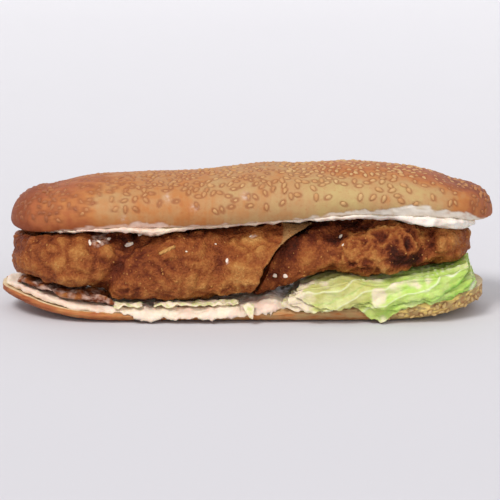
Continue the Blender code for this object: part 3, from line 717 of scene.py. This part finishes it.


# Fried chicken

# the darkest colours are painted shade for hollows, the golden ones the coating's crisp crests with painted
# highlight
friedLook = {
    "recess": (0.040, 0.009, 0.004), "deep": (0.13, 0.024, 0.008), "brown": (0.29, 0.078, 0.020),
    "golden": (0.43, 0.165, 0.042), "crisp": (0.56, 0.29, 0.090), "tan": (0.46, 0.255, 0.10),
    "cream": (0.66, 0.46, 0.37), "roughness": 0.46,
}


def friedMaterial():
    look = friedLook
    made, tree, shader = makeMaterial("friedCoating", look, Specular_IOR_Level=0.14)
    cloud = addBlotches(tree, 55.0, 0.3, 0.7)
    specks = addBlotches(tree, 950.0, 0.4, 0.7)
    patchy = calc(tree, "MULTIPLY", calc(tree, "SUBTRACT", cloud, 0.5), 0.10)
    dust = calc(tree, "MULTIPLY", calc(tree, "SUBTRACT", specks, 0.4), 0.15)
    tone = calc(tree, "ADD", field(tree, "crisp"), calc(tree, "ADD", patchy, dust))
    # the tone runs from painted shade in the hollows up to golden crests with painted highlight
    colour = ramp(tree, tone, look, recess=0.0, deep=0.25, brown=0.5, golden=0.75, crisp=1.0)
    colour = mixColour(tree, field(tree, "tan"), colour, look["tan"])
    colour = mixColour(tree, field(tree, "cream"), colour, look["cream"])
    addFinish(tree, shader, colour, 0.8, 0.0008, Fine=2600.0, Coarse=1000.0, Pits=0.8)
    return made


fried = friedMaterial()


def crags(p, rough):  # relief of the coating at a point, in millimetres, and its tone there, golden where crisp and following the relief as painted highlight on the crests and painted shade in the hollows
    q = p + drift(p * 0.12) * 2.2
    swell = fractal(q * 0.06, 2)
    lumps = abs(noise.noise(q * 0.14)) + 0.3 * abs(noise.noise(q * 0.31)) - 0.28
    folds = ridges(q * 0.11, 4) - 1.06
    flakes = ridges(q * 0.34, 3) - 1.0
    crumb = 1 - clamp(noise.voronoi(q * 0.9)[0][0] * 1.6)
    soft = max(1.0 - rough, 0.0)
    relief = 0.8 * swell + (0.4 + soft) * 2.0 * lumps + rough * (1.3 * folds + 0.45 * flakes) + 0.14 * crumb
    crisp = 0.12 * swell + (0.15 + soft) * 0.55 * lumps + rough * (0.36 * folds + 0.14 * flakes)
    return relief, crisp + 0.06 * crumb


def leftCoat(p):  # how craggy and dented the left piece is and its tone: smoother above and golden at its foot, with painted shade under the bun and along its valleys and painted light on its right part
    foot = 1 - smoothStep(16, 28, p.z)
    # painted shade: darker near the top, where the bun above shades it
    crisp = 0.44 - 0.21 * smoothStep(34, 43, p.z) + 0.08 * foot - 0.05 * smoothStep(-70, -90, p.x)
    # painted light: lighter on the right part, where it curves away into shade
    crisp += 0.03 + 0.12 * bell(p.x, 6, 14) * smoothStep(24, 34, p.z)
    crisp += 0.09 * bell(p.x, -78, 14) * bell(p.z, 27, 7) + 0.12 * bell(p.x, -4, 20) * bell(p.z, 22, 8)
    crisp -= 0.11 * bell(p.x, -52, 9) + 0.10 * bell(p.x, -38, 8) * bell(p.z, 24, 6)
    # painted shade along a diagonal valley, which is also dented, and along a fainter one to its right
    valley = bell(p.x + 48.7 - 0.64 * (p.z - 41), 0.0, 2.6)
    valley += 0.5 * bell(p.x + 12 - 0.2 * (p.z - 30), 0.0, 2.0)
    shade = bell(p.x, -56, 9) * smoothStep(33, 39, p.z)
    return mix(0.22, 1.0, foot), crisp - 0.14 * valley - 0.16 * shade, 1.3 * valley


def flapAt(p):  # the smooth tan flap at the left piece's right end
    crease = min(10.0 + 0.55 * (p.z - 28), 16.0)
    return smoothStep(-0.5, 0.8, p.x - crease + 1.2 * noise.noise(p * 0.2)) * smoothStep(27, 30, p.z)


def rightCoat(p):  # painted shade at its upper left under the bun, in its cleft and at its left end under the front piece; golden crags in the middle and a smooth end
    shade = smoothStep(52, 34, p.x) * smoothStep(26, 40, p.z)
    cleft = bell(p.x - 0.5 * (p.z - 33), 80, 2.6) * smoothStep(40, 34, p.z)
    # painted shade: darker at the upper left under the bun, in the cleft and at the left end
    crisp = 0.45 - 0.20 * shade - 0.34 * cleft - 0.12 * smoothStep(30, 18, p.x)
    rough = mix(0.6, 1.6, smoothStep(30, 48, p.x)) * (1 - 0.75 * smoothStep(82, 88, p.x))
    return rough, crisp + 0.16 * smoothStep(84, 90, p.x), 1.2 * cleft


def scrapCoat(p):  # even all over
    return 0.7, 0.42, 0.0


creamSmears = [(3.2, 43.3, 7.0, 1.7), (2.7, 37.7, 2.6, 1.4), (-8.9, 28.8, 1.0, 1.6), (-66.4, 36.7, 5.0, 2.6),
               (-24.0, 43.5, 4.0, 1.5), (-101.0, 16.0, 9.0, 4.5), (-88.0, 13.0, 9.0, 3.0)]


def creamAt(p):  # thin smears of sauce on the front of the chicken
    if p.y > -18:
        return 0.0
    near = max(bell(p.x, x, wide) * bell(p.z, z, tall) for x, z, wide, tall in creamSmears)
    cloud = fractal(Vector((p.x * 0.5, p.y * 0.3, p.z * 0.9)), 3)
    return 0.8 * smoothStep(0.35, 0.85, near * (0.8 + 0.8 * cloud))


escalopeForm = {
    "escalope_front": {"piece": "escalopeLeft", "voxel": 0.56, "smooth": 10, "sink": 0.45, "coat": leftCoat},
    "escalope_rear": {"piece": "escalopeRight", "voxel": 0.56, "smooth": 10, "sink": 0.35, "coat": rightCoat},
    "escalope_scrap": {"piece": "escalopeScrap", "voxel": 0.5, "smooth": 5, "sink": 0.1, "coat": scrapCoat},
}


def makeEscalope(nodeName):
    form = escalopeForm[nodeName]
    points, normals, faces = nodeShape(nodeName, form)
    shaped, rows = [], []
    for p, normal in zip(points, normals):
        patch = 0.8 + 0.6 * noise.noise(p * 0.05 + Vector((7, 3, 1)))
        rough, tone, dent = form["coat"](p)
        flap = flapAt(p) if nodeName == "escalope_front" else 0.0
        relief, crisp = crags(p, rough * patch)
        relief *= 1 - 0.7 * flap
        dent *= smoothStep(-18, -26, p.y)
        shaped.append(p + normal * (relief - form["sink"] - dent))
        cream = clamp(0.2 + fractal(p * 0.3, 3)) if nodeName == "escalope_scrap" else creamAt(p)
        rows.append((tone + crisp, 0.85 * flap, cream))
    makePiece(form["piece"], shaped, faces, fried, "fried_coating", "crisp tan cream", rows, [nodeName])
    return shaped, faces


coating = [BVHTree.FromPolygons(*makeEscalope(nodeName)) for nodeName in escalopeForm]


def onFront(x, z, lean):  # a place on the front of the chicken, or None beside it
    hits = []
    for tree in coating:
        spot, outward = tree.ray_cast(Vector((x, -90.0, z)), Vector((0, 1, 0)))[:2]
        if spot is not None:
            hits.append((spot.y, spot, outward))
    if not hits:
        return None
    spot, outward = min(hits)[1:]
    return standOn(spot, outward, Vector((1, 0, 0)), math.radians(lean))


crumbForm = {
    "tries": 460, "span": (-104, 100), "heights": (14, 44), "size": (0.35, 0.8), "crisp": (0.45, 0.95),
    "large": 1.5, "largeShare": 0.12, "rough": 0.2,
    "stickAt": (-35.8, 33.7), "stickLean": 28, "stickSize": (8.6, 1.9, 1.7), "stickRough": 0.25,
}


def makeCrumbs(draw):  # loose crumbs of coating, and a stray one shaped like a short stick
    form, items = crumbForm, []
    for attempt in range(form["tries"]):
        x = draw.uniform(*form["span"])
        z = draw.uniform(*form["heights"])
        size = draw.uniform(*form["size"]) * (form["large"] if draw.random() < form["largeShare"] else 1.0)
        place = onFront(x, z, draw.uniform(0, 180))
        if place is not None:
            items.append((place, (size * 1.5, size, size * 0.8), draw.uniform(*form["crisp"])))
    stick = (onFront(*form["stickAt"], form["stickLean"]), form["stickSize"], 1.0)
    finish = (fried, "fried_coating", "crisp")
    makeScatter("looseCrumbs", dropShape(6, 4, 1.0, 0.1, 0.5), items, form["rough"], *finish)
    makeScatter("stickCrumb", dropShape(12, 16, 1.0, 0.0, 0.22), [stick], form["stickRough"], *finish)


makeCrumbs(random.Random(31))
print("chicken done")


# Sauce

sauceLook = {
    "cream": (0.82, 0.67, 0.51), "pink": (0.74, 0.53, 0.415), "white": (0.80, 0.73, 0.65), "roughness": 0.4,
}


def sauceMaterial():
    look = sauceLook
    made, tree, shader = makeMaterial("sauce", look, Specular_IOR_Level=0.35,
                                      Subsurface_Weight=0.15, Subsurface_Scale=0.002)
    cloud = addBlotches(tree, 110.0, 0.35, 0.65)
    pinkish = mixColour(tree, cloud, look["cream"], look["pink"])
    colour = mixColour(tree, field(tree, "white"), pinkish, look["white"])
    addFinish(tree, shader, colour, 0.25, 0.0006, Fine=1500.0, Coarse=420.0, Pits=0.2)
    return made


sauce = sauceMaterial()

sauceForm = {
    "sauce_lower": {
        "piece": "sauceBelow", "voxel": 0.82, "smooth": 6, "swell": 0.5, "white": (-112, -90),
        "whiteness": 0.0, "rise": 0.0,
        "bead": [(-112, 0.6), (-60, 0.4), (0, 0.5), (20, 0.4), (40, 0.0)],
        "hang": [(-104, 0.0), (-80, 0.8), (-60, 1.8), (-30, 2.4), (0, 2.0), (14, 1.2), (24, 0.0)],
    },
    "sauce_upper": {
        "piece": "sauceAbove", "voxel": 0.82, "smooth": 6, "swell": 0.55, "white": (70, -10),
        "whiteness": 0.9, "rise": 0.75,
        "bead": [(-92, 0.3), (-70, 0.8), (-58, 1.4), (-44, 2.4), (-34, 1.2), (-24, 0.0), (20, 0.0),
                 (32, 1.2), (46, 1.4), (54, 0.5), (66, 0.4), (76, 2.2), (96, 2.4), (106, 1.0)],
        "hang": [(-92, -0.5), (-60, -0.6), (-50, -0.4), (-40, 1.6), (-34, -0.4), (70, -0.6),
                 (92, 0.4), (104, -0.2)],
    },
}


def makeSauce(nodeName):
    form = sauceForm[nodeName]
    bead, hang = smoothCurve(form["bead"]), smoothCurve(form["hang"])
    full, none = form["white"]
    points, normals, faces = nodeShape(nodeName, form)
    shaped, rows = [], []
    for p, normal in zip(points, normals):
        swell = fractal(p * 0.16, 3)
        froth = abs(noise.noise(p * 0.32)) + 0.5 * abs(noise.noise(p * 0.7)) - 0.3
        smear = fractal(Vector((p.x * 0.12, p.y * 0.4, p.z * 0.5)), 3)
        front = smoothStep(-14, -24, p.y) * smoothStep(0.2, -0.4, normal.y)
        push = form["swell"] * (swell + 0.6 * smear + 1.1 * froth) - 0.1
        ragged = 0.6 + 0.9 * fractal(Vector((p.x * 0.2, 0, p.z * 0.2)), 3)
        ragged = front * clamp(ragged, 0.0, 1.4)
        push += form["rise"] * smoothStep(0.1, 0.5, normal.z) * smoothStep(-10, -18, p.y)
        shaped.append(p + normal * push - Vector((0, 0.8 * bead(p.x), hang(p.x))) * ragged)
        white = smoothStep(none, full, p.x) * form["whiteness"] + 0.35 * swell + 0.2 * smear
        rows.append((clamp(white),))
    makePiece(form["piece"], shaped, faces, sauce, "sauce", "white", rows, [nodeName])


for nodeName in sauceForm:
    makeSauce(nodeName)

dabs = [  # across, up, width, height, lean in degrees: drops and dabs of sauce on the chicken
    (-48.0, 38.1, 2.4, 4.6, -25), (-53.4, 33.9, 5.0, 2.0, 15), (-41.4, 37.9, 2.0, 2.0, 0),
    (-70.6, 36.0, 1.2, 3.2, 10), (-68.6, 38.8, 4.0, 1.2, 25), (-64.0, 38.2, 3.2, 1.2, -20),
    (-66.5, 36.4, 2.2, 1.3, 0), (-62.2, 36.6, 1.4, 2.2, -30), (12.7, 20.6, 1.9, 1.7, 0),
    (17.3, 20.6, 2.1, 1.8, 0), (42.3, 37.2, 2.3, 1.6, 30), (43.2, 34.9, 1.5, 0.9, 20),
    (-8.9, 28.8, 1.2, 2.4, 0), (-27.0, 33.0, 1.0, 0.8, 0), (1.5, 38.0, 1.6, 0.8, 15),
    (-14.0, 35.0, 0.8, 0.7, 0),
]


def makeDabs():
    items = []
    for x, z, width, height, lean in dabs:
        place = onFront(x, z, lean)
        if place is not None:
            items.append((place, (width, height, 0.75 * min(width, height)), 0.55))
    makeScatter("sauceDabs", dropShape(16, 12, 1.0, 0.0, 0.5), items, 0.35, sauce, "sauce", "white")


makeDabs()
print("sauce done")


# Lettuce

leafForm = {
    "thick": 0.55, "pileStart": 10.0, "pileFull": 31.0, "pileStep": 5.2, "first": 3.1,
    "corner": 2.0, "slant": 0.35, "ruffle": 0.5, "along": 190, "top": 36, "lip": 42,
}
leafPieces = [
    {"node": "leaf_low", "piece": "leafLow", "level": 0, "span": (15.5, 104.0),
     "back": 0.9, "out": 1.0, "skew": 9.0,
     "drop": [(16, 2.6), (28, 3.6), (50, 3.6), (56, 8.6), (62, 9.6), (71, 4.0), (84, 3.4), (104, 1.8)]},
    {"node": "leaf_middle", "piece": "leafMiddle", "level": 1, "span": (18.5, 102.0),
     "back": 0.85, "out": 2.5, "skew": 6.0,
     "drop": [(19, 3.4), (26, 6.0), (38, 7.4), (52, 6.2), (66, 8.0), (84, 7.0), (102, 5.2)]},
    {"node": "leaf_top", "piece": "leafTop", "level": 2, "span": (21.5, 100.0),
     "back": 0.8, "out": 4.0, "skew": 10.0,
     "drop": [(22, 3.4), (28, 6.4), (36, 9.6), (46, 10.6), (54, 8.2), (62, 10.4), (72, 8.6), (84, 9.2),
              (94, 5.8), (100, 4.4)]},
]
leafLook = {
    # olive is the painted shade under the chicken, and also the leaf's fine blotches
    "olive": (0.50, 0.475, 0.14), "bright": (0.45, 0.66, 0.12), "pale": (0.66, 0.72, 0.34),
    "rib": (0.80, 0.83, 0.60), "edge": (0.19, 0.40, 0.05), "roughness": 0.4,
}


def leafMaterial():
    look = leafLook
    made, tree, shader = makeMaterial("lettuce", look, Specular_IOR_Level=0.3,
                                      Subsurface_Weight=0.25, Subsurface_Scale=0.002)
    shader.inputs["Subsurface Radius"].default_value = (0.6, 1.0, 0.25)
    cloud = addBlotches(tree, 120.0, 0.35, 0.75)
    fine = addBlotches(tree, 520.0, 0.35, 0.7)
    # painted shade: olive where the chicken shades the leaf, bright green where it is lit
    body = mixColour(tree, field(tree, "ripe"), look["olive"], look["bright"])
    body = mixColour(tree, calc(tree, "MULTIPLY", cloud, 0.6), body, look["pale"])
    body = mixColour(tree, calc(tree, "MULTIPLY", fine, 0.25), body, look["olive"])
    # the frill mask is the darker green of the lower edge on the right and painted shade in the fold troughs
    body = mixColour(tree, field(tree, "frill"), body, look["edge"])
    body = mixColour(tree, field(tree, "rib"), body, look["rib"])
    colour = mixColour(tree, field(tree, "smear"), body, sauceLook["cream"])
    addFinish(tree, shader, colour, 0.3, 0.0005, Fine=1600.0, Coarse=600.0, Pits=0.6)
    return made


lettuce = leafMaterial()
leafLabels = "rib frill smear ripe"


def pile(x):
    return smoothStep(leafForm["pileStart"], leafForm["pileFull"], x)


def leafWave(x, y):
    return 0.8 * math.sin(0.20 * x + 0.05 * y) + 1.3 * noise.noise(Vector((x, 0.6 * y, 3.0)) * 0.055)


def leafHeight(level, x, y):
    climb = pile(x)
    lowest = heelRim(x) + leafForm["first"] + level * leafForm["pileStep"] * climb
    return lowest + (leafWave(x, y) * (0.3 + 0.3 * level) + 0.04 * level * y) * climb


def pastCorner(drop):
    corner = leafForm["corner"]
    if drop < corner:
        return corner * math.acos(1 - drop / corner)
    return corner * math.pi / 2 + drop - corner


def leafFront(leaf, x, z):  # y of a leaf's hanging front, each outside the one below it
    ruffle = leafForm["ruffle"] * (1 + math.sin(0.42 * x + 0.2 * z))
    lean = leafForm["slant"] * max(z - heelRim(x) - leafForm["first"], 0.0)
    return lean - heelHalfWidth(x, leaf["out"]) - ruffle


def thicken(points, faces, thick):  # both faces of a leaf, joined round its edge
    normals, count = normalsOf(points, faces), len(points)
    sides = [points[i] + normals[i] * thick[i] / 2 for i in range(count)]
    sides += [points[i] - normals[i] * thick[i] / 2 for i in range(count)]
    closed = faces + [tuple(count + i for i in reversed(face)) for face in faces]
    used = dict.fromkeys(edge for face in faces for edge in zip(face, face[1:] + face[:1]))
    for a, b in used:
        if (b, a) not in used:
            closed.append((b, a, count + a, count + b))
    return sides, closed


def leafFolds(x, across):  # folds and crinkles that all the leaves share, so that they nest
    p = Vector((x, across, 0.0))
    warp = 2.2 * noise.noise(p * 0.06) + 0.7 * noise.noise(p * 0.2)
    lines = (across * 0.9 - (x - 60) * 0.34 + warp * 2.0) / 7.5
    ridge = abs(lines - math.floor(lines) - 0.5) * 2
    return ridge, fractal(Vector((x * 0.22, across * 0.42, 0.0)), 4)


def makeLeaf(leaf):
    form = leafForm
    level, (left, right), corner = leaf["level"], leaf["span"], form["corner"]
    dropAt = smoothCurve(leaf["drop"])
    across = form["top"] + form["lip"]
    points, shares = [], []
    for r in range(form["along"] + 1):
        share = r / form["along"]
        x = mix(left, right, share)
        ends = rounding(x, left - 0.6, right + 0.6, 9.0, 9.0)
        bend = leafHeight(level, x, -0.9 * heelHalfWidth(x)) - corner
        behind = leafFront(leaf, x, bend) + corner
        for k in range(form["top"]):
            toBack = (1 - k / (form["top"] - 1)) ** 1.7
            at = x + leaf["skew"] * toBack * (1 - share) ** 2
            y = mix(behind, leaf["back"] * heelHalfWidth(at), toBack)
            points.append(Vector((at, y, leafHeight(level, at, y))))
            shares.append((at, behind - y, 0.0))
        top = points[-1].z
        ragged = 2.0 * fractal(Vector((x * 0.16, level * 5.0, 0)), 4)
        lip = pastCorner(max((dropAt(x) + min(ragged, 0.8)) * ends, 0.05))
        for k in range(1, form["lip"] + 1):
            along = lip * k / form["lip"]
            turn = min(along / corner, math.pi / 2)
            z = top - corner * (1 - math.cos(turn)) - max(along - corner * math.pi / 2, 0.0)
            y = leafFront(leaf, x, z) + corner * (1 - math.sin(turn))
            points.append(Vector((x, y, z)))
            shares.append((x, along, k / form["lip"]))
    starts = [r * across + i for r in range(form["along"]) for i in range(across - 1)]
    faces = [(a, a + 1, a + across + 1, a + across) for a in starts]
    normals = normalsOf(points, faces)
    if normals[len(normals) // 2].z < 0:
        normals = [-n for n in normals]
    shaped, rows, thick = [], [], []
    for p, normal, (x, down, share) in zip(points, normals, shares):
        ridge, crinkle = leafFolds(x, p.z if share > 0 else p.z - down)
        frill = share ** 3 * math.sin(1.25 * x + 3 * noise.noise(p * 0.12)) * 0.35
        push = 1.5 * (ridge ** 1.6 - 0.8) + 0.5 * crinkle + frill
        shaped.append(p + normal * push)
        rib = 0.8 * smoothStep(0.88, 1.0, ridge) * (0.6 + 0.4 * smoothStep(70, 90, x))
        edgeAndTroughShade = 0.75 * smoothStep(0.75, 1.0, share) * smoothStep(78, 96, x)
        # painted shade: the fold troughs darken towards the edge colour
        edgeAndTroughShade += 0.3 * smoothStep(0.3, 0.0, ridge)
        wet = fractal(p * 0.10 + Vector((3, 1, 8)), 3)
        creamy = 0.45 * bell(x, 22, 9) + 0.42 * bell(x, 59, 6) * smoothStep(22, 14, p.z)
        smear = 0.8 * smoothStep(0.2, 0.5, wet * 0.5 + creamy)
        # the last value paints the leaf olive as shade to the left and higher up, under the chicken
        rows.append((rib, edgeAndTroughShade, smear, smoothStep(50, 72, x + 10 * wet + 0.8 * (20 - p.z))))
        thick.append(form["thick"] * (1.0 - 0.45 * share))
    sides, closed = thicken(shaped, faces, thick)
    makePiece(leaf["piece"], sides, closed, lettuce, "lettuce", leafLabels, rows * 2, [leaf["node"]])


for leaf in leafPieces:
    makeLeaf(leaf)


shredForm = {
    "pieces": {"shred_long": "shredLong", "shred_short": "shredShort", "shred_tip": "shredTip"},
    "voxel": 0.35, "smooth": 3, "swing": 0.7, "curl": 1.5, "crinkle": 0.2, "ripe": 0.4,
}


def makeShred(nodeName, pieceName):
    form = shredForm
    points, normals, faces = nodeShape(nodeName, form)
    shaped, rows = [], []
    for p, normal in zip(points, normals):
        crinkle = fractal(p * 0.5, 3)
        curl = form["curl"] * noise.noise(Vector((p.x * 0.3, 0.3 * p.y, 2)))
        wave = Vector((0, form["swing"] * noise.noise(p * 0.25), curl))
        shaped.append(p + wave + normal * form["crinkle"] * crinkle)
        rows.append((0.0, 0.0, clamp(0.75 + 0.7 * crinkle), form["ripe"]))
    makePiece(pieceName, shaped, faces, lettuce, "lettuce", leafLabels, rows, [nodeName])


for nodeName, pieceName in shredForm["pieces"].items():
    makeShred(nodeName, pieceName)
print("lettuce done")


# Studio: a pale floor that curves up into a backdrop, soft light from all round, and the camera

studio = {
    "near": (0.63, 0.615, 0.64), "far": (0.69, 0.68, 0.70), "sky": (0.98, 0.98, 1.0), "skyPower": 0.60,
    "key": 1.9, "keyFrom": (-0.40, -0.62, 0.86), "keySpread": 20.0,
    "fill": 1.1, "fillFrom": (0.25, -0.95, 0.24), "fillSpread": 60.0,
    "elevation": 12.0, "distance": 1600.0, "lookAt": (1.4, -10.0, 28.9), "frameWidth": 227.5,
    "floorHalf": 2500, "floorFront": -2500, "floorBack": 900, "bend": 700, "bendSteps": 16, "wallTop": 2600,
    "shadeFrom": -0.25, "shadeTo": 0.9, "roughness": 0.9,
}


def makeStage():
    made, tree, shader = makeMaterial("stage", studio, Specular_IOR_Level=0.1)
    cloud = addBlotches(tree, 9.0, 0.3, 0.7)
    shade = alongAxis(tree, "Y", studio["shadeFrom"], studio["shadeTo"])
    tint = mixColour(tree, shade, studio["near"], studio["far"])
    tint = mixColour(tree, calc(tree, "MULTIPLY", cloud, 0.03), tint, (0.6, 0.6, 0.6))
    tree.links.new(tint, shader.inputs["Base Color"])
    back, radius, steps = studio["floorBack"], studio["bend"], studio["bendSteps"]
    turns = [math.pi / 2 * i / steps for i in range(1, steps + 1)]
    profile = [(studio["floorFront"], 0.0), (back, 0.0)]
    profile += [(back + radius * math.sin(turn), radius * (1 - math.cos(turn))) for turn in turns]
    profile.append((back + radius, studio["wallTop"]))
    half, below = studio["floorHalf"], 0.02
    points = [Vector((side * half, y, z - below)) * mm for y, z in profile for side in (-1, 1)]
    faces = [(2 * i, 2 * i + 1, 2 * i + 3, 2 * i + 2) for i in range(len(profile) - 1)]
    addMesh("stage", points, faces, made)


def addLight(name, power, direction, spread):  # a broad soft light, far away
    light = bpy.data.lights.new(name, "SUN")
    light.energy = power
    light.angle = math.radians(spread)
    addObject(name, light).rotation_euler = Vector(direction).to_track_quat("Z", "Y").to_euler()


def makeStudio():
    makeStage()
    world = bpy.data.worlds.new("studio")
    world.use_nodes = True
    sky = world.node_tree.nodes["Background"]
    sky.inputs["Color"].default_value = (*studio["sky"], 1.0)
    sky.inputs["Strength"].default_value = studio["skyPower"]
    bpy.context.scene.world = world
    addLight("key", studio["key"], studio["keyFrom"], studio["keySpread"])
    addLight("fill", studio["fill"], studio["fillFrom"], studio["fillSpread"])
    camera = bpy.data.cameras.new("camera")
    camera.lens = camera.sensor_width * studio["distance"] / studio["frameWidth"]
    camera.clip_end = 20
    made = addObject("camera", camera)
    tip = math.radians(studio["elevation"])
    away = Vector((0, -math.cos(tip), math.sin(tip))) * studio["distance"]
    made.location = (Vector(studio["lookAt"]) + away) * mm
    made.rotation_euler = (math.pi / 2 - tip, 0, 0)
    bpy.context.scene.camera = made
    bpy.context.scene.view_settings.view_transform = "Standard"


makeStudio()
print("studio done")
